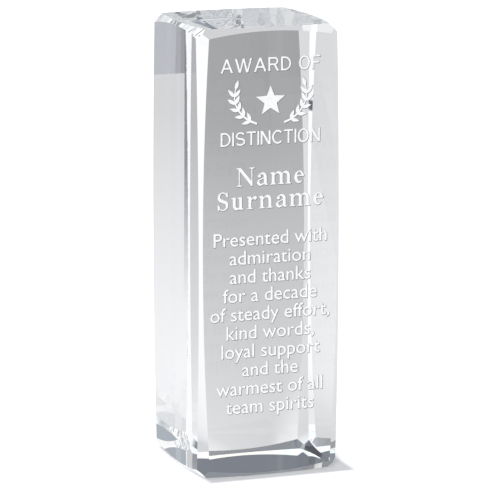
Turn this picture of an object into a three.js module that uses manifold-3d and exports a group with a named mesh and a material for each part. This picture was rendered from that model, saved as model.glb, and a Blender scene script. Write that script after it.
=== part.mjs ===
// A crystal tower award: one tall square block of clear optical crystal with bevelled edges.
// The front face is etched, and every etched mark holds its own thin layer of white colour fill.
// Units are millimetres. The block stands on the XY plane, centred on the Z axis, with its front towards -Y.
import * as THREE from "three";
import { mergeVertices } from "three/addons/utils/BufferGeometryUtils.js";
import Module from "manifold-3d";

// ---- driving dimensions ----
const SIDE = 59; // width and depth of the block
const HEIGHT = 180;
const BEVEL_MIDDLE = 1.3; // bevel leg halfway along an edge
const BEVEL_END = 4.3; // bevel leg at the ends of an edge, where hand grinding takes off the most
const BEVEL_STEPS = 12; // flats along one bevel

const ETCH_DEPTH = 0.35; // depth of the recess behind every mark
const FILL_THICKNESS = 0.2; // white colour fill inside every recess
const FILL_GAP = 0.1; // clearance between the fill and the walls and floor of its recess
const CUTTER_OVERRUN = 1; // how far a recess cutter stands out in front of the face
const CURVE_STEPS = 8; // straight stretches along one curve of a mark
const LONG_CURVE_STEPS = 12; // the same where a curve turns through more than half a circle
const MITRE_LIMIT = 0.35; // keeps a very sharp corner from running far out when its sides move outwards
const MERGE_DISTANCE = 1e-4; // points of one surface that lie closer than this are the same point

const TITLE_CAP = 5.5; // capital height of the two title lines
const TITLE_WIDTH = 41.5;
const TITLE_UPPER_Z = 162.8; // baselines
const TITLE_LOWER_Z = 133.9;
const NAME_CAP = 7.4;
const NAME_UPPER_WIDTH = 28.6;
const NAME_LOWER_WIDTH = 44.8;
const NAME_UPPER_Z = 117.7;
const NAME_LOWER_Z = 108.5;
const WORD_SPACE = 0.3; // share of the capital height

const EMBLEM_Z = 151; // centre of the emblem
const STAR_RADIUS = 6.4;
const STAR_WAIST = 0.42; // inner radius as a share of the outer one
const LAUREL_X = 15; // half axes of the ellipse that the stems follow
const LAUREL_Z = 12;
const LAUREL_RISE = 2.4; // height of that ellipse's centre above the emblem's
const LAUREL_START = -68; // degrees on that ellipse
const LAUREL_END = 16;
const LEAF_PAIRS = 6;
const LEAF_LENGTH = 4.1;
const LEAF_WIDTH = 1.5;
const LEAF_SPREAD = 40; // degrees between a leaf and its stem
const LEAF_ROOT = 0.2; // how far the tip leaf starts before the stem's end, as a share of the leaf spacing
const STEM_WIDTH = 0.7;

const wasm = await Module();
wasm.setup();

// ---- solids ----
function toSolid(geometry) {
  const bare = geometry.clone();
  bare.deleteAttribute("normal");
  bare.deleteAttribute("uv");
  const merged = mergeVertices(bare, MERGE_DISTANCE);
  const mesh = new wasm.Mesh({
    numProp: 3,
    vertProperties: new Float32Array(merged.attributes.position.array),
    triVerts: new Uint32Array(merged.index.array),
  });
  return new wasm.Manifold(mesh);
}

function toGeometry(solid) {
  const mesh = solid.getMesh();
  const geometry = new THREE.BufferGeometry();
  geometry.setAttribute("position", new THREE.BufferAttribute(new Float32Array(mesh.vertProperties), 3));
  geometry.setIndex(new THREE.BufferAttribute(new Uint32Array(mesh.triVerts), 1));
  geometry.computeVertexNormals();
  return geometry;
}

// ---- the block ----
function bevelLeg(along, length) {
  const fromMiddle = (2 * along) / length;
  return BEVEL_MIDDLE + (BEVEL_END - BEVEL_MIDDLE) * fromMiddle * fromMiddle;
}

// A square bar standing on its corner. It narrows towards its ends, so that cutting a box down to it
// bevels the four box edges along the bar by the right leg at every point.
function bevelBar(length, cornerDistance) {
  const bar = new THREE.CylinderGeometry(1, 1, length, 4, BEVEL_STEPS);
  const position = bar.attributes.position;
  for (let i = 0; i < position.count; i += 1) {
    const reach = cornerDistance - bevelLeg(position.getY(i), length);
    position.setX(i, position.getX(i) * reach);
    position.setZ(i, position.getZ(i) * reach);
  }
  return bar;
}

function plainBlock() {
  const box = new THREE.BoxGeometry(SIDE, SIDE, HEIGHT);
  const upright = bevelBar(HEIGHT, SIDE).rotateX(Math.PI / 2);
  const across = bevelBar(SIDE, (SIDE + HEIGHT) / 2).rotateZ(Math.PI / 2);
  const deep = bevelBar(SIDE, (SIDE + HEIGHT) / 2);
  let solid = toSolid(box);
  for (const bar of [upright, across, deep]) {
    solid = solid.intersect(toSolid(bar));
  }
  return solid.translate([0, 0, HEIGHT / 2]);
}

// ---- outlines: an outline is a closed list of [x, y] points, anticlockwise ----
function arc(x, y, radiusX, radiusY, from, to, steps = CURVE_STEPS) {
  const points = [];
  for (let i = 0; i <= steps; i += 1) {
    const angle = THREE.MathUtils.degToRad(from + ((to - from) * i) / steps);
    points.push([x + radiusX * Math.cos(angle), y + radiusY * Math.sin(angle)]);
  }
  return points;
}

// A band along a centre line. Its width follows a list of widths spread evenly from start to end.
function band(centre, widths) {
  const left = [];
  const right = [];
  for (let i = 0; i < centre.length; i += 1) {
    const before = centre[Math.max(i - 1, 0)];
    const after = centre[Math.min(i + 1, centre.length - 1)];
    const run = Math.hypot(after[0] - before[0], after[1] - before[1]);
    const normal = [-(after[1] - before[1]) / run, (after[0] - before[0]) / run];
    const place = (i / (centre.length - 1)) * (widths.length - 1);
    const index = Math.min(Math.floor(place), widths.length - 2);
    const half = THREE.MathUtils.lerp(widths[index], widths[index + 1], place - index) / 2;
    left.push([centre[i][0] + normal[0] * half, centre[i][1] + normal[1] * half]);
    right.push([centre[i][0] - normal[0] * half, centre[i][1] - normal[1] * half]);
  }
  return [...right, ...left.reverse()];
}

function area(outline) {
  return THREE.ShapeUtils.area(outline.map(([x, y]) => new THREE.Vector2(x, y)));
}

// Moves every side of an outline outwards by the same distance.
function grown(outline, distance) {
  const turn = Math.sign(area(outline));
  return outline.map((point, i) => {
    const before = outline[(i + outline.length - 1) % outline.length];
    const after = outline[(i + 1) % outline.length];
    const sides = [[before, point], [point, after]].map(([from, to]) => {
      const run = Math.hypot(to[0] - from[0], to[1] - from[1]);
      return [(turn * (to[1] - from[1])) / run, (-turn * (to[0] - from[0])) / run];
    });
    const agreement = 1 + sides[0][0] * sides[1][0] + sides[0][1] * sides[1][1];
    const reach = distance / Math.max(agreement, MITRE_LIMIT);
    return [point[0] + (sides[0][0] + sides[1][0]) * reach, point[1] + (sides[0][1] + sides[1][1]) * reach];
  });
}

// ---- capital letters without serifs, on a capital height of 1 ----
const STEM = 0.14;
const BAR = 0.125;
const BOWL_ROUND = 0.95; // how wide the round of a bowl is, as a share of its height
const O_OUTER = { x: 0.42, y: 0.515 };

function capitalStem(x) {
  return [[x, 0], [x + STEM, 0], [x + STEM, 1], [x, 1]];
}

function bowl(width, bottom, top) {
  const middle = (bottom + top) / 2;
  const radius = (top - bottom) / 2 - BAR / 2;
  const reach = radius * BOWL_ROUND;
  const curve = arc(width - STEM / 2 - reach, middle, reach, radius, -90, 90, 2 * CURVE_STEPS);
  const lower = [STEM / 2, middle - radius];
  const upper = [STEM / 2, middle + radius];
  return band([lower, ...curve, upper], [BAR, BAR, STEM, BAR, BAR]);
}

const capitals = {
  A: {
    width: 0.94,
    outlines: [
      [[0, 0], [0.15, 0], [0.545, 1], [0.395, 1]],
      [[0.79, 0], [0.94, 0], [0.545, 1], [0.395, 1]],
      [[0.2, 0.27], [0.74, 0.27], [0.7, 0.27 + BAR], [0.24, 0.27 + BAR]],
    ],
  },
  C: { width: 0.8, outlines: [band(arc(0.44, 0.5, 0.36, 0.44, 42, 318, 2 * CURVE_STEPS), [0.13, 0.145, 0.13])] },
  D: { width: 0.76, outlines: [capitalStem(0), bowl(0.76, 0, 1)] },
  F: {
    width: 0.64,
    outlines: [
      capitalStem(0),
      [[0.05, 1 - BAR], [0.64, 1 - BAR], [0.64, 1], [0.05, 1]],
      [[0.05, 0.43], [0.57, 0.43], [0.57, 0.43 + BAR], [0.05, 0.43 + BAR]],
    ],
  },
  I: { width: STEM, outlines: [capitalStem(0)] },
  N: {
    width: 0.75,
    outlines: [capitalStem(0), capitalStem(0.75 - STEM), [[0, 1], [0.58, 0], [0.75, 0], [0.17, 1]]],
  },
  O: {
    width: 2 * O_OUTER.x,
    outlines: [arc(O_OUTER.x, 0.5, O_OUTER.x, O_OUTER.y, 0, 360 - 360 / (4 * CURVE_STEPS), 4 * CURVE_STEPS - 1)],
    holes: [
      arc(
        O_OUTER.x, 0.5, O_OUTER.x - STEM, O_OUTER.y - BAR - 0.005,
        0, 360 - 360 / (4 * CURVE_STEPS), 4 * CURVE_STEPS - 1,
      ),
    ],
  },
  R: {
    width: 0.82,
    outlines: [capitalStem(0), bowl(0.76, 0.42, 1), [[0.38, 0.48], [0.66, 0], [0.82, 0], [0.53, 0.5]]],
  },
  S: {
    width: 0.74,
    outlines: [
      band(
        [
          ...arc(0.37, 0.715, 0.28, 0.215, 22, 235, LONG_CURVE_STEPS),
          ...arc(0.37, 0.285, 0.3, 0.215, 55, -158, LONG_CURVE_STEPS),
        ],
        [0.13, 0.13, 0.14, 0.13, 0.13],
      ),
    ],
  },
  T: {
    width: 0.7,
    outlines: [
      capitalStem((0.7 - STEM) / 2),
      [[0, 1 - BAR], [0.7, 1 - BAR], [0.7, 1], [0, 1]],
    ],
  },
  W: {
    width: 1.28,
    outlines: [
      [
        [0, 1], [0.29, 0], [0.44, 0], [0.64, 0.77], [0.84, 0], [0.99, 0], [1.28, 1],
        [1.13, 1], [0.915, 0.23], [0.715, 1], [0.565, 1], [0.365, 0.23], [0.15, 1],
      ],
    ],
  },
};

// ---- bold letters with serifs, on a capital height of 1 ----
const X_HEIGHT = 0.69;
const THICK = 0.165;
const THIN = 0.065;
const SERIF = 0.06; // thickness of a serif
const SERIF_REACH = 0.08; // how far a serif stands out beside its stem
const SMALL_A_RIGHT = 0.57; // right side of the upright stroke of the small a

function foot(x) {
  return [[x - SERIF_REACH, 0], [x + THICK + SERIF_REACH, 0], [x + THICK + SERIF_REACH, SERIF * 0.7],
    [x + THICK * 0.8, SERIF * 1.5], [x + THICK * 0.2, SERIF * 1.5], [x - SERIF_REACH, SERIF * 0.7]];
}

// A small stem with the slanted flag of a serif at its top left.
function smallStem(x, bottom = 0) {
  return [[x, bottom], [x + THICK, bottom], [x + THICK, X_HEIGHT], [x - SERIF_REACH, X_HEIGHT - 0.03],
    [x - SERIF_REACH, X_HEIGHT - 0.03 - SERIF], [x, X_HEIGHT - 0.12]];
}

function shoulder(x, reach) {
  const rise = arc(x + reach / 2, 0.47, reach / 2 - THICK / 2, 0.175, 165, 0, CURVE_STEPS);
  return band([...rise, [x + reach - THICK / 2, 0.3]], [THIN, THIN, 0.14, THICK, THICK, THICK]);
}

function uprightStem(x) {
  return [[x, 0], [x + THICK, 0], [x + THICK, 0.42], [x, 0.42]];
}

function turnedHalf(outline, width) {
  return outline.map(([x, y]) => [width - x, X_HEIGHT - y]);
}

const serifs = {
  N: {
    width: 1.06,
    outlines: [
      [[0.14, 0.02], [0.14 + THIN, 0.02], [0.14 + THIN, 0.95], [0.14, 0.95]],
      [[0.02, 0], [0.34, 0], [0.34, SERIF * 0.7], [0.22, SERIF * 1.3], [0.13, SERIF * 1.3], [0.02, SERIF * 0.7]],
      [[0.85, 0.05], [0.85 + THIN, 0.05], [0.85 + THIN, 0.98], [0.85, 0.98]],
      [[0.73, 1], [0.73, 1 - SERIF * 0.7], [0.84, 1 - SERIF * 1.3], [0.93, 1 - SERIF * 1.3],
        [1.05, 1 - SERIF * 0.7], [1.05, 1]],
      [[0, 1], [0, 1 - SERIF * 0.7], [0.13, 1 - SERIF * 1.5], [0.86, -0.02], [0.92, -0.02], [0.92, 0.2], [0.27, 1]],
    ],
  },
  S: {
    width: 0.72,
    outlines: [
      band(
        [
          ...arc(0.34, 0.735, 0.22, 0.235, 28, 225, LONG_CURVE_STEPS),
          ...arc(0.35, 0.265, 0.23, 0.235, 45, -152, LONG_CURVE_STEPS),
        ],
        [0.06, THIN, 0.09, 0.155, 0.18, 0.155, 0.09, THIN, 0.06],
      ),
      [[0.5, 0.79], [0.6, 0.69], [0.63, 0.69], [0.61, 1.01], [0.575, 1.01], [0.52, 0.9]],
      [[0.19, 0.2], [0.1, 0.32], [0.06, 0.32], [0.06, -0.02], [0.095, -0.02], [0.17, 0.1]],
    ],
  },
  a: {
    width: 0.68,
    outlines: [
      [[SMALL_A_RIGHT - THICK, 0.1], [SMALL_A_RIGHT, 0.06], [SMALL_A_RIGHT, 0.46], [SMALL_A_RIGHT - THICK, 0.46]],
      band(
        [...arc(0.3, 0.48, SMALL_A_RIGHT - THICK / 2 - 0.3, 0.17, 165, 0), [SMALL_A_RIGHT - THICK / 2, 0.4]],
        [0.09, THIN, 0.1, THICK, THICK, THICK],
      ),
      arc(0.15, 0.51, 0.095, 0.085, 0, 330, 11),
      band([...arc(0.22, 0.185, 0.13, 0.145, -75, -270, 12), [0.45, 0.42]], [0.11, 0.14, 0.155, 0.12, THIN, THIN]),
      band([[0.22, 0.04], [0.31, 0.05], [0.43, 0.13]], [0.11, 0.09, 0.08]),
      band([[0.485, 0.12], [0.53, 0.045], [0.6, 0.04], [0.67, 0.085]], [THICK, 0.11, 0.07, 0.03]),
    ],
  },
  e: {
    width: 0.6,
    outlines: [
      band(arc(0.3, 0.345, 0.2, 0.3, 8, 318, 2 * CURVE_STEPS), [0.15, 0.1, THIN, 0.13, 0.175, 0.16, 0.1, 0.05]),
      [[0.15, 0.36], [0.58, 0.36], [0.58, 0.43], [0.15, 0.43]],
    ],
  },
  m: {
    width: 1.25,
    outlines: [
      smallStem(0.08), foot(0.08), shoulder(0.16, 0.54), uprightStem(0.7 - THICK), foot(0.7 - THICK),
      shoulder(0.57, 0.54), uprightStem(1.11 - THICK), foot(1.11 - THICK),
    ],
  },
  n: {
    width: 0.84,
    outlines: [
      smallStem(0.08), foot(0.08), shoulder(0.16, 0.54), uprightStem(0.7 - THICK), foot(0.7 - THICK),
    ],
  },
  r: {
    width: 0.58,
    outlines: [
      smallStem(0.08), foot(0.08),
      band(arc(0.42, 0.42, 0.17, 0.21, 165, 70), [THIN, THIN, 0.1]),
      arc(0.46, 0.59, 0.1, 0.1, 0, 330, 11),
    ],
  },
  u: {
    width: 0.78,
    outlines: [
      smallStem(0.08, 0.2),
      turnedHalf(shoulder(0.16, 0.49), 0.78).map(([x, y]) => [x - 0.05, y]),
      smallStem(0.44),
      [[0.4 + THICK, 0], [0.68, 0], [0.7, 0.045], [0.4 + THICK, 0.1]],
    ],
  },
};

// ---- the emblem, in millimetres about its own centre ----
function starOutline() {
  const points = [];
  for (let i = 0; i < 10; i += 1) {
    const radius = i % 2 === 0 ? STAR_RADIUS : STAR_RADIUS * STAR_WAIST;
    const angle = Math.PI / 2 + (i * Math.PI) / 5;
    points.push([radius * Math.cos(angle), radius * Math.sin(angle)]);
  }
  return points;
}

function leafOutline(base, direction) {
  const along = [Math.cos(direction), Math.sin(direction)];
  const steps = 5;
  const sides = [1, -1].map((side) => {
    const points = [];
    for (let i = side === 1 ? steps : 0; i >= 0 && i <= steps; i -= side) {
      const place = i / steps;
      const half = (side * LEAF_WIDTH * Math.sin(Math.PI * place ** 0.8)) / 2;
      points.push([
        base[0] + along[0] * LEAF_LENGTH * place - along[1] * half,
        base[1] + along[1] * LEAF_LENGTH * place + along[0] * half,
      ]);
    }
    return points.slice(0, -1);
  });
  return [...sides[0], ...sides[1]];
}

// A laurel branch on the right (side 1) or left (side -1) of the star.
function laurelOutlines(side) {
  const stem = arc(0, LAUREL_RISE, LAUREL_X, LAUREL_Z, LAUREL_START, LAUREL_END);
  const outlines = [band(stem, [STEM_WIDTH * 1.3, STEM_WIDTH, STEM_WIDTH * 0.6])];
  const spread = THREE.MathUtils.degToRad(LEAF_SPREAD);
  for (let i = 1; i <= LEAF_PAIRS; i += 1) {
    const angle = LAUREL_START + ((LAUREL_END - LAUREL_START) * (i - LEAF_ROOT)) / LEAF_PAIRS;
    const [base, ahead] = arc(0, LAUREL_RISE, LAUREL_X, LAUREL_Z, angle, angle + 1, 1);
    const heading = Math.atan2(ahead[1] - base[1], ahead[0] - base[0]);
    const turns = i < LEAF_PAIRS ? [spread, -spread] : [0];
    outlines.push(...turns.map((turn) => leafOutline(base, heading + turn)));
  }
  return outlines.map((outline) => outline.map(([x, y]) => [side * x, y]));
}

// ---- marks: each mark is a recess in the block with its colour fill ----
function shapeOf(outline, holes) {
  const shape = new THREE.Shape(outline.map(([x, y]) => new THREE.Vector2(x, y)));
  shape.holes = holes.map((hole) => new THREE.Path(hole.map(([x, y]) => new THREE.Vector2(x, y))));
  return shape;
}

// The outlines as one solid between two distances behind the front face, each side moved out by `margin`.
function markSolid(mark, margin, nearest, farthest) {
  const place = ([x, y]) => [mark.x + x * mark.scale, mark.z + y * mark.scale];
  const holes = (mark.holes ?? []).map((hole) => grown(hole.map(place), -margin));
  const prisms = mark.outlines.map((outline) => {
    const shape = shapeOf(grown(outline.map(place), margin), holes);
    const prism = new THREE.ExtrudeGeometry(shape, { depth: farthest - nearest, bevelEnabled: false });
    prism.rotateX(Math.PI / 2);
    return toSolid(prism.translate(0, farthest - SIDE / 2, 0));
  });
  return prisms.reduce((joined, prism) => joined.add(prism));
}

function lineOfText(name, text, letters, cap, width, baseline) {
  const glyphs = [...text].map((letter) => letters[letter]);
  const glyphsWidth = glyphs.reduce((sum, glyph) => sum + (glyph ? glyph.width : WORD_SPACE) * cap, 0);
  const tracking = (width - glyphsWidth) / (glyphs.length - 1);
  const marks = [];
  let x = -width / 2;
  glyphs.forEach((glyph, i) => {
    if (glyph) {
      marks.push({ ...glyph, name: `${name}_${marks.length + 1}_${text[i]}`, scale: cap, x, z: baseline });
    }
    x += (glyph ? glyph.width : WORD_SPACE) * cap + tracking;
  });
  return marks;
}

const emblem = { scale: 1, x: 0, z: EMBLEM_Z };
const marks = [
  ...lineOfText("title_upper", "AWARD OF", capitals, TITLE_CAP, TITLE_WIDTH, TITLE_UPPER_Z),
  { ...emblem, name: "emblem_star", outlines: [starOutline()] },
  { ...emblem, name: "laurel_left", outlines: laurelOutlines(-1) },
  { ...emblem, name: "laurel_right", outlines: laurelOutlines(1) },
  ...lineOfText("title_lower", "DISTINCTION", capitals, TITLE_CAP, TITLE_WIDTH, TITLE_LOWER_Z),
  ...lineOfText("name_upper", "Name", serifs, NAME_CAP, NAME_UPPER_WIDTH, NAME_UPPER_Z),
  ...lineOfText("name_lower", "Surname", serifs, NAME_CAP, NAME_LOWER_WIDTH, NAME_LOWER_Z),
];

// ---- assembly ----
const group = new THREE.Group();

function addPiece(name, solid, material) {
  const mesh = new THREE.Mesh(toGeometry(solid), material);
  mesh.name = name;
  group.add(mesh);
}

const recesses = marks.map((mark) => markSolid(mark, FILL_GAP, -CUTTER_OVERRUN, ETCH_DEPTH));
const block = recesses.reduce((rest, recess) => rest.subtract(recess), plainBlock());
addPiece("crystal_block", block, new THREE.MeshStandardMaterial({
  color: 0xdfe7ea,
  roughness: 0.02,
  metalness: 0,
  transparent: true,
  opacity: 0.4,
}));

const fillBack = ETCH_DEPTH - FILL_GAP;
for (const mark of marks) {
  const fill = markSolid(mark, 0, fillBack - FILL_THICKNESS, fillBack);
  addPiece(mark.name, fill, new THREE.MeshStandardMaterial({ color: 0xfafaf8, roughness: 0.6, metalness: 0 }));
}

export default group;
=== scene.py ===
"""A clear crystal tower award with white colour-filled etching, standing on a pale floor in soft light."""
import math

import bmesh
import bpy
from mathutils import Matrix, Vector
from mathutils.bvhtree import BVHTree
from mathutils.geometry import delaunay_2d_cdt


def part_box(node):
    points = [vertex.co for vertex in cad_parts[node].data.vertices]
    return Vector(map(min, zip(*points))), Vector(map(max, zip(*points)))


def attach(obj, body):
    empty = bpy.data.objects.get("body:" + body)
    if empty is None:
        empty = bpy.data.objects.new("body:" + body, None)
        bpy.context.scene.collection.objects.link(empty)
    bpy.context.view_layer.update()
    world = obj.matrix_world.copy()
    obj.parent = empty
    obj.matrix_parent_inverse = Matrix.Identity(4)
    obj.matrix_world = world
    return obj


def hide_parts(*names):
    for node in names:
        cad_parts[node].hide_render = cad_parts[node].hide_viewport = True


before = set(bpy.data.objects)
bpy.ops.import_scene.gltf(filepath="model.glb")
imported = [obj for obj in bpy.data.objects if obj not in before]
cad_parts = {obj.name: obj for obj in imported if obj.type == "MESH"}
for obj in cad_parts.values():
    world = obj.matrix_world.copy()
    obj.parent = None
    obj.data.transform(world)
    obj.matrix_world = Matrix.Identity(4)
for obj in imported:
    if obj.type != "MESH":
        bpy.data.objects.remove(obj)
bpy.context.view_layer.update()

MM = 0.001

# ---- sizes worked out from the frame ----
BLOCK_LOW, BLOCK_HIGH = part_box("crystal_block")
HALF = BLOCK_HIGH.x
SIDE = 2 * HALF
HEIGHT = BLOCK_HIGH.z
FRONT_Y = BLOCK_LOW.y

# ---- the block's bevels, with the CAD's sizes and more flats ----
BEVEL_MIDDLE = 1.3 * MM
BEVEL_END = 4.3 * MM
UPRIGHT_FLATS = 36
LEVEL_FLATS = 28
ARRIS = 0.14 * MM  # the tiny polished round along every edge between two faces
ARRIS_ANGLE = math.radians(15)  # an edge that turns by more than this gets an arris
SHARP_ANGLE = math.radians(4)  # an edge that turns by more than this isn't shaded smooth

# ---- tolerances ----
MERGE_DISTANCE = 1e-6
CUT_DISTANCE = 1e-7
OUTLINE_TOLERANCE = 1e-4  # millimetres
SAME_DIRECTION = 0.999  # two directions with a larger cosine between them count as one
FACING = 0.5  # how far a face's normal points along y if the face is a front or a back and not a wall
MITRE_LIMIT = 0.35  # keeps a very sharp corner from growing into a spike
INSIDE_OUTLINE = 1  # makes delaunay_2d_cdt keep only the triangles inside the outline

# ---- etching ----
# The recesses are very shallow, so light that travels inside the block is hardly disturbed by them.
# From front to back each one holds the fill's film, a rim painted dark as its shadow, and then its clear
# floor.
FILM_FRONT = FRONT_Y + 0.008 * MM
FILM_BACK = FRONT_Y + 0.014 * MM
RIM_FRONT = FRONT_Y + 0.018 * MM
RIM_BACK = FRONT_Y + 0.024 * MM
ETCH_FLOOR = FRONT_Y + 0.03 * MM
RECESS_GAP = 0.1 * MM  # how far a recess reaches past its fill
RECESS_SHADOW_SHIFT = Vector((0.11, -0.11))  # millimetres: the recess shows more at the fill's lower right, as a painted shadow
NO_SHIFT = Vector((0, 0))

# ---- citation ----
CITATION = (
    "Presented with",
    "admiration",
    "and thanks",
    "for a decade",
    "of steady effort,",
    "kind words,",
    "loyal support",
    "and the",
    "warmest of all",
    "team spirits",
)
CITATION_TOP = 94.0 * MM  # baseline of the first line
CITATION_PITCH = 7.53 * MM  # from one baseline to the next
CITATION_CAP = 5.4 * MM  # height of a capital letter
CITATION_WEIGHT = 0.05 * MM  # how much bolder than the built-in lettering
LETTER_CURVE_STEPS = 5

# ---- crystal ----
CRYSTAL_COLOUR = (0.985, 0.993, 0.996)  # the middle of the tints below, for programs that read no nodes
CRYSTAL_TINTS = ((0.35, (0.98, 0.99, 0.995)), (0.65, (0.99, 0.996, 0.997)))
SURFACE_GLOW = 0.014  # painted glow: light that each polished surface adds though it is no lamp, which keeps long internal paths from going black
SURFACE_GLOW_COLOUR = (0.97, 1.0, 1.0)

# ---- camera, key light and render ----
CAMERA_AZIMUTH = math.radians(19.86)
CAMERA_ELEVATION = math.radians(11.35)
CAMERA_DISTANCE = 1.407
CAMERA_LENS = 256.9
CAMERA_SENSOR = 36
CAMERA_TARGET = Vector((0, 0, 0.088))
KEY_PLACE = (-0.9, -1.6, 1.3)
KEY_SIZE = 0.9
KEY_POWER = 25
LIGHT_BOUNCES = 32

# ---- studio colours ----
WHITE = (1.0, 1.0, 1.0)
WALL = (0.13, 0.145, 0.18)
ROOM = (0.28, 0.32, 0.37)
ROOM_FLOOR = (0.34, 0.355, 0.4)
NAVY = (0.006, 0.018, 0.05)
BLACK_CARD = (0.0, 0.003, 0.012)
BLACK_FLOOR = (0.0, 0.0, 0.01)
# UNDER_BLOCK is a painted pool of light: the floor under the block glows brighter than white, seen only
# through the block.
UNDER_BLOCK = (1.25, 1.25, 1.25)
COOLNESS = 1.02  # how much stronger blue is than red and green in the floor's greys

# ---- sky, for light that goes through or off the block ----
# A heading says which way something lies from the award: 0.5 is straight behind it, 0.25 is left,
# 0.75 is right, and 0 and 1 are both straight in front. A height is the upward part of a direction.
LOW_SKY = (
    (0.0, ROOM), (0.14, ROOM), (0.18, WHITE), (0.36, WHITE), (0.40, WALL),
    (0.64, WALL), (0.68, WHITE), (0.82, WHITE), (0.86, ROOM), (1.0, ROOM),
)
# The high sky is tinted by noise, so its stops are noise values instead of headings.
HIGH_SKY = (
    (0.36, (1.0, 0.96, 0.9)), (0.44, (1.0, 1.0, 0.97)), (0.5, (0.95, 1.0, 1.0)),
    (0.56, (0.8, 0.93, 1.0)), (0.64, (0.97, 0.93, 1.0)),
)
LOW_SKY_TOP = 0.4
HIGH_SKY_FOOT = 0.55
# Each dark card has a range of headings, a range of heights, a softness for its top and foot, and a colour.
CARDS = (
    ((0.385, 0.462), (0.28, 0.66), 0.04, BLACK_CARD),
    ((0.12, 0.205), (0.29, 0.66), 0.03, NAVY),
)
CARD_SIDE_SOFTNESS = 0.01

# ---- floor, for light that goes through or off the block ----
# The tones are pairs of a heading and a brightness, close to the award and far from it.
NEAR_TONES = (
    (0.0, 0.9), (0.15, 0.9), (0.18, 1.0), (0.21, 1.0), (0.25, 0.76), (0.36, 0.76), (0.42, 0.88),
    (0.46, 0.87), (0.50, 0.7), (0.53, 0.67), (0.565, 0.64), (0.58, 0.78), (0.62, 1.0), (0.66, 1.0),
    (0.70, 0.78), (0.82, 0.8), (0.90, 0.92), (1.0, 0.9),
)
FAR_TONES = (
    (0.0, 0.64), (0.15, 0.8), (0.185, 1.0), (0.205, 1.0), (0.25, 0.6), (0.36, 0.56), (0.42, 0.74),
    (0.445, 0.71), (0.46, 0.6), (0.475, 0.74), (0.52, 0.44), (0.555, 0.35), (0.60, 0.45), (0.625, 1.0),
    (0.66, 1.0), (0.71, 0.62), (0.85, 0.6), (0.944, 0.59), (1.0, 0.64),
)
NEAR_REACH = 0.08
FAR_REACH = 0.85
ROOM_Y = -0.945  # the grey room's floor lies in front of this line
# Lines of sight through the left face all run forwards at one angle, so a line drawn along that
# angle on the floor shows up there as an upright edge. The next three sizes say how far such a line
# passes to the right of the award's middle.
EDGE_ANGLE = math.radians(18.9)
ROOM_SHADE_FROM = 0.0287  # the room's floor is darker to the right of this line
STRIP_FROM = 0.0351  # a dark strip of floor runs from this line to the next
STRIP_TO = 0.05
ROOM_SHADE = 0.5  # how much of the room's floor colour the darkening takes away
STRIP_Y = -0.1  # the strip lies in front of this line across the floor
STRIP_FADE = (0.25, 0.65)  # distances from the award between which the strip fades in
PATCH_REACH = (0.667, 0.69)  # a small dark patch lies between these distances and these headings
PATCH_HEADING = (0.18, 0.2)
PATCH_SOFTNESS = 0.004
UNDER_MARGIN = 0.2 * MM  # how far the bright floor under the block reaches past its footprint

# ---- floor, as the camera sees it ----
SHADE_SHIFT = (4 * MM, -3 * MM)  # the contact shade lies a little to the right of the block and in front
SHADE_REACH = 9 * MM
SHADE_TONES = ((0.0, 0.45), (0.3, 0.8), (1.0, 1.0))  # share of that reach, and brightness
FLOOR_GLOW = 0.4  # light that the floor adds, which keeps it pale

# ---- the floor's sheet ----
FLOOR_SIZE = 6
FLOOR_DROP = 0.05 * MM  # keeps it clear of the block's underside


# ---------------------------------------------------------------- nodes
def new_material(name):
    material = bpy.data.materials.new(name)
    material.use_nodes = True
    material.node_tree.nodes.clear()
    return material, material.node_tree


def add_node(tree, kind, **settings):
    node = tree.nodes.new(kind)
    for key, value in settings.items():
        setattr(node, key, value)
    return node


def math_node(tree, operation, first, second=0):
    node = add_node(tree, "ShaderNodeMath", operation=operation)
    for socket, value in zip(node.inputs, (first, second)):
        if isinstance(value, (int, float)):
            socket.default_value = value
        else:
            tree.links.new(value, socket)
    return node.outputs[0]


def product(tree, first, *others):
    result = first
    for value in others:
        result = math_node(tree, "MULTIPLY", result, value)
    return result


def ramp_node(tree, factor, stops):
    node = add_node(tree, "ShaderNodeValToRGB")
    elements = node.color_ramp.elements
    while len(elements) < len(stops):
        elements.new(0.5)
    for element, (place, colour) in zip(elements, stops):
        element.position = place
        element.color = (*colour, 1)
    tree.links.new(factor, node.inputs["Fac"])
    return node.outputs["Color"]


def noise_node(tree, place, scale, detail=2):
    node = add_node(tree, "ShaderNodeTexNoise")
    node.inputs["Scale"].default_value = scale
    node.inputs["Detail"].default_value = detail
    tree.links.new(place, node.inputs["Vector"])
    return node.outputs["Fac"]


def mix_colours(tree, factor, first, second):
    mix = add_node(tree, "ShaderNodeMix", data_type="RGBA")
    # The sockets for colours have the same names as those for numbers, so they are found by their numbers.
    tree.links.new(factor, mix.inputs[0])
    tree.links.new(first, mix.inputs[6])
    tree.links.new(second, mix.inputs[7])
    return mix.outputs[2]


def map_range(tree, value, low, high):
    """0 where the value is at low or beyond it, 1 where it is at high or beyond, and even between them."""
    node = add_node(tree, "ShaderNodeMapRange")
    node.inputs["From Min"].default_value = low
    node.inputs["From Max"].default_value = high
    tree.links.new(value, node.inputs["Value"])
    return node.outputs[0]


def inside_range(tree, value, low, high, soft):
    """1 where the value lies between low and high, with soft ends."""
    rise = map_range(tree, value, low, low + soft)
    fall = map_range(tree, value, high, high - soft)
    return math_node(tree, "MULTIPLY", rise, fall)


def colour_node(tree, colour):
    node = add_node(tree, "ShaderNodeRGB")
    node.outputs[0].default_value = (*colour, 1)
    return node.outputs[0]


def finish_surface(tree, shader_socket):
    output = add_node(tree, "ShaderNodeOutputMaterial")
    tree.links.new(shader_socket, output.inputs["Surface"])


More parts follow.
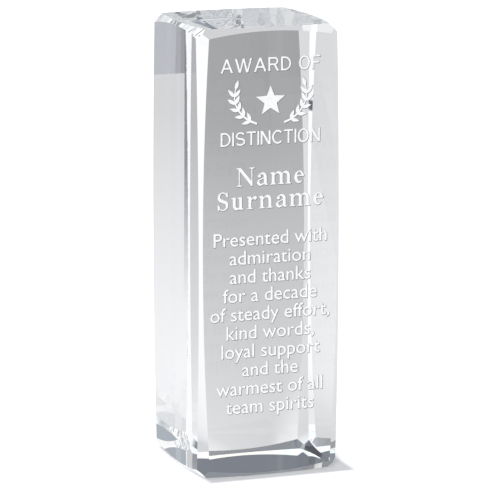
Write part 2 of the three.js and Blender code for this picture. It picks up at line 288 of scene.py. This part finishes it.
# ---------------------------------------------------------------- materials
def crystal_material():
    material, tree = new_material("clear_crystal")
    shader = add_node(tree, "ShaderNodeBsdfPrincipled")
    shader.inputs["Base Color"].default_value = (*CRYSTAL_COLOUR, 1)
    place = add_node(tree, "ShaderNodeTexCoord").outputs["Object"]
    tint = ramp_node(tree, noise_node(tree, place, scale=25), CRYSTAL_TINTS)
    tree.links.new(tint, shader.inputs["Base Color"])
    shader.inputs["Transmission Weight"].default_value = 1
    shader.inputs["IOR"].default_value = 1.52
    shader.inputs["Roughness"].default_value = 0
    # A painted glow on every surface of the crystal.
    shader.inputs["Emission Color"].default_value = (*SURFACE_GLOW_COLOUR, 1)
    shader.inputs["Emission Strength"].default_value = SURFACE_GLOW
    finish_surface(tree, shader.outputs[0])
    return material


def painted_shadow_rim_material():
    """The rim of a recess where it isn't covered by the fill, painted dark as a shadow at the fill's lower
    right.
    """
    material, tree = new_material("etched_crystal")
    shader = add_node(tree, "ShaderNodeBsdfPrincipled")
    shader.inputs["Roughness"].default_value = 0.7
    shader.inputs["Specular IOR Level"].default_value = 0.2
    place = add_node(tree, "ShaderNodeTexCoord").outputs["Object"]
    rim_grain = noise_node(tree, place, scale=3000)
    # Painted shadow: a near-black colour for the rim beside each mark.
    colour = ramp_node(tree, rim_grain, ((0.3, (0.05, 0.052, 0.055)), (0.7, (0.1, 0.102, 0.105))))
    tree.links.new(colour, shader.inputs["Base Color"])
    finish_surface(tree, shader.outputs[0])
    return material


def fill_material():
    """Matt white paint with a faint mottle and a fine grain."""
    material, tree = new_material("white_colour_fill")
    shader = add_node(tree, "ShaderNodeBsdfPrincipled")
    shader.inputs["Specular IOR Level"].default_value = 0.3
    place = add_node(tree, "ShaderNodeTexCoord").outputs["Object"]
    mottle = noise_node(tree, place, scale=900, detail=4)
    colour = ramp_node(tree, mottle, ((0.3, (0.88, 0.88, 0.87)), (0.7, (0.95, 0.95, 0.945))))
    tree.links.new(colour, shader.inputs["Base Color"])
    roughness = ramp_node(tree, mottle, ((0.3, (0.5,) * 3), (0.7, (0.68,) * 3)))
    tree.links.new(roughness, shader.inputs["Roughness"])
    bump = add_node(tree, "ShaderNodeBump")
    bump.inputs["Strength"].default_value = 0.25
    bump.inputs["Distance"].default_value = 0.02 * MM
    tree.links.new(noise_node(tree, place, scale=5000), bump.inputs["Height"])
    tree.links.new(bump.outputs["Normal"], shader.inputs["Normal"])
    finish_surface(tree, shader.outputs[0])
    return material


# ---------------------------------------------------------------- meshes
def link_mesh(name, bm, material):
    mesh = bpy.data.meshes.new(name)
    bm.to_mesh(mesh)
    bm.free()
    mesh.materials.append(material)
    obj = bpy.data.objects.new(name, mesh)
    bpy.context.scene.collection.objects.link(obj)
    return obj


def bevel_leg(along, length):
    from_middle = 2 * along / length
    return BEVEL_MIDDLE + (BEVEL_END - BEVEL_MIDDLE) * from_middle**2


def bevel_slope(along, length):
    """How fast the leg grows along the edge."""
    return 8 * (BEVEL_END - BEVEL_MIDDLE) * along / length**2


def bevel_planes():
    """A point and an outward normal for every flat that makes up the twelve curved bevels."""
    centre = Vector((0, 0, HEIGHT / 2))
    sizes = Vector((SIDE, SIDE, HEIGHT))
    for axis in range(3):
        others = [i for i in range(3) if i != axis]
        flats = UPRIGHT_FLATS if axis == 2 else LEVEL_FLATS
        for step in range(flats):
            along = sizes[axis] * ((step + 0.5) / flats - 0.5)
            leg = bevel_leg(along, sizes[axis])
            slope = bevel_slope(along, sizes[axis])
            for first in (1, -1):
                for second in (1, -1):
                    point = Vector((0, 0, 0))
                    normal = Vector((0, 0, 0))
                    point[axis] = along
                    normal[axis] = slope
                    for i, sign in zip(others, (first, second)):
                        point[i] = sign * (sizes[i] - leg) / 2
                        normal[i] = sign
                    yield centre + point, normal.normalized()


def plain_block():
    """The block with its bevels and arrises, before any etching."""
    bm = bmesh.new()
    bmesh.ops.create_cube(bm, size=1)
    bmesh.ops.scale(bm, vec=(SIDE, SIDE, HEIGHT), verts=bm.verts)
    bmesh.ops.translate(bm, vec=(0, 0, HEIGHT / 2), verts=bm.verts)
    for point, normal in bevel_planes():
        geometry = bm.verts[:] + bm.edges[:] + bm.faces[:]
        cut = bmesh.ops.bisect_plane(
            bm, geom=geometry, dist=CUT_DISTANCE, plane_co=point, plane_no=normal, clear_outer=True
        )
        rim = [e for e in cut["geom_cut"] if isinstance(e, bmesh.types.BMEdge)]
        if rim:
            bmesh.ops.edgenet_fill(bm, edges=rim)
    bmesh.ops.recalc_face_normals(bm, faces=bm.faces)
    arrises = [e for e in bm.edges if e.calc_face_angle(0) > ARRIS_ANGLE]
    bmesh.ops.bevel(
        bm, geom=arrises, offset=ARRIS, segments=2, profile=0.5, affect="EDGES", clamp_overlap=True
    )
    return bm


def faces_front(face):
    return face.normal.y < -FACING


def flat_place(vertex, shift):
    """Where a vertex lies on the front face, as millimetres of (x, z)."""
    return Vector((vertex.co.x, vertex.co.z)) / MM + shift


def side_normals(vertex):
    """The different directions in which the walls beside this vertex of an upright prism face."""
    found = []
    for face in vertex.link_faces:
        if abs(face.normal.y) < FACING and all(face.normal.dot(n) < SAME_DIRECTION for n in found):
            found.append(face.normal.copy())
    return found


class Region:
    """Parts of the front face, as flat polygons and the sides around them, in millimetres of (x, z)."""

    def __init__(self):
        self.polygons = []
        self.sides = []

    def add_front_of(self, bm, shift=NO_SHIFT):
        """Adds the front of a prism, moved by the shift, and frees the prism."""
        bm.normal_update()
        front = [f for f in bm.faces if faces_front(f)]
        self.polygons += [[flat_place(v, shift) for v in f.verts] for f in front]
        for face in front:
            for edge in face.edges:
                if sum(faces_front(f) for f in edge.link_faces) == 1:
                    self.sides.append([flat_place(v, shift) for v in edge.verts])
        bm.free()

    def cover_test(self):
        """A function that says whether a place lies in the region."""
        corners = [corner.to_3d() for polygon in self.polygons for corner in polygon]
        faces = []
        for polygon in self.polygons:
            first = faces[-1][-1] + 1 if faces else 0
            faces.append(tuple(range(first, first + len(polygon))))
        tree = BVHTree.FromPolygons(corners, faces)
        return lambda place: tree.ray_cast(Vector((*place, 1)), Vector((0, 0, -1)))[0] is not None


def cad_fill(node):
    """A fill of the CAD model, thinned to a film."""
    bm = bmesh.new()
    bm.from_mesh(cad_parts[node].data)
    bmesh.ops.remove_doubles(bm, verts=bm.verts, dist=MERGE_DISTANCE)
    low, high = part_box(node)
    middle = (low.y + high.y) / 2
    for vertex in bm.verts:
        vertex.co.y = FILM_FRONT if vertex.co.y < middle else FILM_BACK
    bm.normal_update()
    return bm


def grown(bm, distance):
    """Moves every wall of an upright prism outwards by the same distance, or less at very sharp corners."""
    moves = []
    for vertex in bm.verts:
        normals = side_normals(vertex)
        move = Vector((0, 0, 0))
        if len(normals) == 1:
            move = normals[0] * distance
        elif len(normals) >= 2:
            agreement = 1 + normals[0].dot(normals[1])
            move = (normals[0] + normals[1]) * distance / max(agreement, MITRE_LIMIT)
        moves.append(move)
    for vertex, move in zip(bm.verts, moves):
        vertex.co += move
    return bm


def build_mark_films(material, fills, recesses):
    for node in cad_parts:
        if node == "crystal_block":
            continue
        film = link_mesh(f"{node}_film", cad_fill(node), material)
        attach(film, "root")
        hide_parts(node)
        fills.add_front_of(cad_fill(node))
        recesses.add_front_of(grown(cad_fill(node), RECESS_GAP), RECESS_SHADOW_SHIFT)


def text_prism(text, scale, baseline, near, far, growth):
    """One line of built-in lettering as a closed solid standing in the front face, between two depths."""
    curve = bpy.data.curves.new("lettering", "FONT")
    curve.body = text
    curve.align_x = "CENTER"
    curve.size = scale
    curve.offset = growth
    curve.extrude = (far - near) / 2
    curve.resolution_u = LETTER_CURVE_STEPS
    holder = bpy.data.objects.new("lettering", curve)
    bpy.context.scene.collection.objects.link(holder)
    bpy.context.view_layer.update()
    evaluated = holder.evaluated_get(bpy.context.evaluated_depsgraph_get())
    bm = bmesh.new()
    mesh = evaluated.to_mesh()
    bm.from_mesh(mesh)
    evaluated.to_mesh_clear()
    bpy.data.objects.remove(holder)
    bpy.data.curves.remove(curve)
    bmesh.ops.remove_doubles(bm, verts=bm.verts, dist=MERGE_DISTANCE)
    upright = Matrix.Rotation(math.pi / 2, 4, "X")
    place = Matrix.Translation((0, (near + far) / 2, baseline))
    bm.transform(place @ upright)
    bmesh.ops.recalc_face_normals(bm, faces=bm.faces)
    return bm


def letter_scale(cap):
    """The lettering size at which a capital is as tall as cap."""
    bm = text_prism("H", scale=1, baseline=0, near=0, far=0.1, growth=0)
    height = max(v.co.z for v in bm.verts)
    bm.free()
    return cap / height


def build_citation(material, fills, recesses):
    scale = letter_scale(CITATION_CAP)
    for number, text in enumerate(CITATION, start=1):
        baseline = CITATION_TOP - (number - 1) * CITATION_PITCH
        letters = (text, scale, baseline, FILM_FRONT, FILM_BACK)
        line = link_mesh(f"citation_line_{number}", text_prism(*letters, CITATION_WEIGHT), material)
        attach(line, "root")
        fills.add_front_of(text_prism(*letters, CITATION_WEIGHT))
        recesses.add_front_of(text_prism(*letters, CITATION_WEIGHT + RECESS_GAP), RECESS_SHADOW_SHIFT)


def add_prism(bm, places, triangles, near, far):
    """Adds a closed upright plate, which covers the triangles, between two depths."""
    made = {}

    def corner(index, depth):
        if (index, depth) not in made:
            place = places[index] * MM
            made[index, depth] = bm.verts.new((place.x, depth, place.y))
        return made[index, depth]

    runs = set()
    for triangle in triangles:
        bm.faces.new([corner(i, near) for i in triangle])
        bm.faces.new([corner(i, far) for i in reversed(triangle)])
        runs.update(zip(triangle, triangle[1:] + triangle[:1]))
    for start, end in runs:
        if (end, start) not in runs:
            bm.faces.new([corner(end, near), corner(start, near), corner(start, far), corner(end, far)])


def etch_front(bm, fills, recesses):
    """Sinks the flat front wherever a recess lies, and returns a plate for the parts beside the fills,
    painted dark as their shadow.
    """
    front = max((f for f in bm.faces if f.normal.y < -SAME_DIRECTION), key=lambda f: f.calc_area())
    rim = list(front.verts)
    outline = list(range(len(rim)))
    points = [flat_place(v, NO_SHIFT) for v in rim]
    sides = []
    for side in recesses.sides + fills.sides:
        sides.append((len(points), len(points) + 1))
        points += side
    places, _, triangles, sources, _, _ = delaunay_2d_cdt(
        points, sides, [outline], INSIDE_OUTLINE, OUTLINE_TOLERANCE
    )
    bmesh.ops.delete(bm, geom=[front], context="FACES_ONLY")
    in_recess = recesses.cover_test()
    in_fill = fills.cover_test()
    made = {}

    def corner(index, deep):
        key = (index, deep)
        if key not in made:
            on_rim = [i for i in sources[index] if i < len(rim)]
            depth = ETCH_FLOOR if deep else FRONT_Y
            place = places[index] * MM
            made[key] = rim[on_rim[0]] if on_rim else bm.verts.new((place.x, depth, place.y))
        return made[key]

    open_rims = []
    deep_beside = {}
    for triangle in triangles:
        middle = sum((places[i] for i in triangle), Vector((0, 0))) / 3
        deep = in_recess(middle)
        bm.faces.new([corner(i, deep) for i in triangle])
        if deep and not in_fill(middle):
            open_rims.append(triangle)
        for start, end in zip(triangle, triangle[1:] + triangle[:1]):
            deep_beside[start, end] = deep
    for (start, end), deep in deep_beside.items():
        if deep and not deep_beside.get((end, start), True):
            bm.faces.new([corner(end, True), corner(start, True), corner(start, False), corner(end, False)])
    bmesh.ops.recalc_face_normals(bm, faces=bm.faces)
    rims = bmesh.new()
    add_prism(rims, places, open_rims, RIM_FRONT, RIM_BACK)
    bmesh.ops.recalc_face_normals(rims, faces=rims.faces)
    return rims


def build_crystal(fills, recesses, clear, shadow_rim_finish):
    solid = plain_block()
    # The rim plate is painted dark, as the shadow at the lower right of each mark.
    rims = link_mesh("etched_rims", etch_front(solid, fills, recesses), shadow_rim_finish)
    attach(rims, "root")
    block = link_mesh("polished_crystal", solid, clear)
    for polygon in block.data.polygons:
        polygon.use_smooth = max(map(abs, polygon.normal)) < SAME_DIRECTION
    block.data.set_sharp_from_angle(angle=SHARP_ANGLE)
    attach(block, "root")
    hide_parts("crystal_block")


# ---------------------------------------------------------------- studio
def only_for_camera(tree, camera_socket, other_socket):
    """The first shader where the camera looks straight at the surface, and the second for all other light."""
    path = add_node(tree, "ShaderNodeLightPath")
    mix = add_node(tree, "ShaderNodeMixShader")
    tree.links.new(path.outputs["Is Camera Ray"], mix.inputs[0])
    tree.links.new(other_socket, mix.inputs[1])
    tree.links.new(camera_socket, mix.inputs[2])
    return mix.outputs[0]


def heading_node(tree, x, y):
    turn = math_node(tree, "ARCTAN2", x, y)
    share = math_node(tree, "DIVIDE", turn, math.tau)
    return math_node(tree, "ADD", share, 0.5)


def grey(stops):
    """Ramp stops from (place, brightness) pairs."""
    return [(place, (tone, tone, tone * COOLNESS)) for place, tone in stops]


def build_world():
    world = bpy.data.worlds.new("studio")
    bpy.context.scene.world = world
    world.use_nodes = True
    tree = world.node_tree
    tree.nodes.clear()
    direction = add_node(tree, "ShaderNodeTexCoord").outputs["Generated"]
    parts = add_node(tree, "ShaderNodeSeparateXYZ")
    tree.links.new(direction, parts.inputs[0])
    heading = heading_node(tree, parts.outputs["X"], parts.outputs["Y"])
    height = parts.outputs["Z"]

    low = ramp_node(tree, heading, LOW_SKY)
    high = ramp_node(tree, noise_node(tree, direction, scale=5, detail=1), HIGH_SKY)
    sky = mix_colours(tree, map_range(tree, height, LOW_SKY_TOP, HIGH_SKY_FOOT), low, high)
    for headings, heights, softness, colour in CARDS:
        beside = inside_range(tree, heading, *headings, CARD_SIDE_SOFTNESS)
        level = inside_range(tree, height, *heights, softness)
        card = math_node(tree, "MULTIPLY", beside, level)
        sky = mix_colours(tree, card, sky, colour_node(tree, colour))

    studio = add_node(tree, "ShaderNodeBackground")
    tree.links.new(sky, studio.inputs["Color"])
    plain = add_node(tree, "ShaderNodeBackground")
    plain.inputs["Color"].default_value = (*WHITE, 1)
    output = add_node(tree, "ShaderNodeOutputWorld")
    tree.links.new(only_for_camera(tree, plain.outputs[0], studio.outputs[0]), output.inputs["Surface"])


def distance_to_block(tree, parts, shift):
    """The distance on the floor from the block's footprint, moved by the shift, and 0 under it."""
    squares = []
    for axis, move in zip("XY", shift):
        size = math_node(tree, "ABSOLUTE", math_node(tree, "SUBTRACT", parts.outputs[axis], move))
        outside = math_node(tree, "MAXIMUM", math_node(tree, "SUBTRACT", size, HALF), 0)
        squares.append(math_node(tree, "POWER", outside, 2))
    return math_node(tree, "SQRT", math_node(tree, "ADD", squares[0], squares[1]))


def floor_tones(tree, position, parts):
    """The floor's colour for light that goes through or off the block."""
    x, y = parts.outputs["X"], parts.outputs["Y"]
    length = add_node(tree, "ShaderNodeVectorMath", operation="LENGTH")
    tree.links.new(position, length.inputs[0])
    reach = length.outputs["Value"]
    heading = heading_node(tree, x, y)
    near = ramp_node(tree, heading, grey(NEAR_TONES))
    far = ramp_node(tree, heading, grey(FAR_TONES))
    tone = mix_colours(tree, map_range(tree, reach, NEAR_REACH, FAR_REACH), near, far)
    in_room = math_node(tree, "LESS_THAN", y, ROOM_Y)
    tone = mix_colours(tree, in_room, tone, colour_node(tree, ROOM_FLOOR))

    across = math_node(
        tree,
        "ADD",
        math_node(tree, "MULTIPLY", x, math.cos(EDGE_ANGLE)),
        math_node(tree, "MULTIPLY", y, math.sin(EDGE_ANGLE)),
    )
    in_shade = math_node(tree, "GREATER_THAN", across, ROOM_SHADE_FROM)
    room_shade = product(tree, in_shade, in_room, ROOM_SHADE)
    tone = mix_colours(tree, room_shade, tone, colour_node(tree, BLACK_FLOOR))
    strip = product(
        tree,
        math_node(tree, "GREATER_THAN", across, STRIP_FROM),
        map_range(tree, reach, *STRIP_FADE),
        math_node(tree, "LESS_THAN", across, STRIP_TO),
        math_node(tree, "LESS_THAN", y, STRIP_Y),
    )
    tone = mix_colours(tree, strip, tone, colour_node(tree, NAVY))
    patch = product(
        tree,
        inside_range(tree, reach, *PATCH_REACH, PATCH_SOFTNESS),
        inside_range(tree, heading, *PATCH_HEADING, PATCH_SOFTNESS),
    )
    tone = mix_colours(tree, patch, tone, colour_node(tree, NAVY))
    # A painted pool of light: the floor under the block glows brighter than white.
    under = math_node(tree, "LESS_THAN", distance_to_block(tree, parts, (0, 0)), UNDER_MARGIN)
    return mix_colours(tree, under, tone, colour_node(tree, UNDER_BLOCK))


def floor_material():
    material, tree = new_material("pale_floor")
    position = add_node(tree, "ShaderNodeNewGeometry").outputs["Position"]
    parts = add_node(tree, "ShaderNodeSeparateXYZ")
    tree.links.new(position, parts.inputs[0])
    seen_through = add_node(tree, "ShaderNodeEmission")
    tree.links.new(floor_tones(tree, position, parts), seen_through.inputs["Color"])

    away = distance_to_block(tree, parts, SHADE_SHIFT)
    contact = ramp_node(tree, math_node(tree, "DIVIDE", away, SHADE_REACH), grey(SHADE_TONES))
    paper = add_node(tree, "ShaderNodeBsdfDiffuse")
    tree.links.new(contact, paper.inputs["Color"])
    glow = add_node(tree, "ShaderNodeEmission")
    glow.inputs["Strength"].default_value = FLOOR_GLOW
    tree.links.new(contact, glow.inputs["Color"])
    bright = add_node(tree, "ShaderNodeAddShader")
    tree.links.new(paper.outputs[0], bright.inputs[0])
    tree.links.new(glow.outputs[0], bright.inputs[1])
    finish_surface(tree, only_for_camera(tree, bright.outputs[0], seen_through.outputs[0]))
    return material


def build_floor():
    bm = bmesh.new()
    bmesh.ops.create_grid(bm, x_segments=1, y_segments=1, size=FLOOR_SIZE)
    bmesh.ops.translate(bm, vec=(0, 0, -FLOOR_DROP), verts=bm.verts)
    floor = link_mesh("floor", bm, floor_material())


def build_key_light():
    lamp = bpy.data.lights.new("soft_key", "AREA")
    lamp.shape = "DISK"
    lamp.size = KEY_SIZE
    lamp.energy = KEY_POWER
    key = bpy.data.objects.new("soft_key", lamp)
    bpy.context.scene.collection.objects.link(key)
    key.location = KEY_PLACE
    aim = Vector((0, 0, HEIGHT / 2)) - key.location
    key.rotation_euler = aim.to_track_quat("-Z", "Y").to_euler()
    key.visible_glossy = False
    key.visible_transmission = False


def build_camera():
    level = math.cos(CAMERA_ELEVATION)
    away = Vector(
        (-math.sin(CAMERA_AZIMUTH) * level, -math.cos(CAMERA_AZIMUTH) * level, math.sin(CAMERA_ELEVATION))
    )
    data = bpy.data.cameras.new("camera")
    data.lens = CAMERA_LENS
    data.sensor_width = CAMERA_SENSOR
    camera = bpy.data.objects.new("camera", data)
    camera.location = CAMERA_TARGET + away * CAMERA_DISTANCE
    camera.rotation_euler = (-away).to_track_quat("-Z", "Y").to_euler()
    bpy.context.scene.collection.objects.link(camera)
    bpy.context.scene.camera = camera


def set_look():
    scene = bpy.context.scene
    scene.view_settings.view_transform = "Standard"
    scene.cycles.max_bounces = LIGHT_BOUNCES
    scene.cycles.transmission_bounces = LIGHT_BOUNCES
    scene.cycles.glossy_bounces = LIGHT_BOUNCES
    scene.cycles.caustics_reflective = True
    scene.cycles.caustics_refractive = True
    scene.cycles.use_denoising = True


# ---------------------------------------------------------------- assembly
set_look()
build_camera()
build_world()
build_floor()
build_key_light()

fill = fill_material()
all_fills = Region()
all_recesses = Region()
build_mark_films(fill, all_fills, all_recesses)
build_citation(fill, all_fills, all_recesses)
build_crystal(all_fills, all_recesses, crystal_material(), painted_shadow_rim_material())
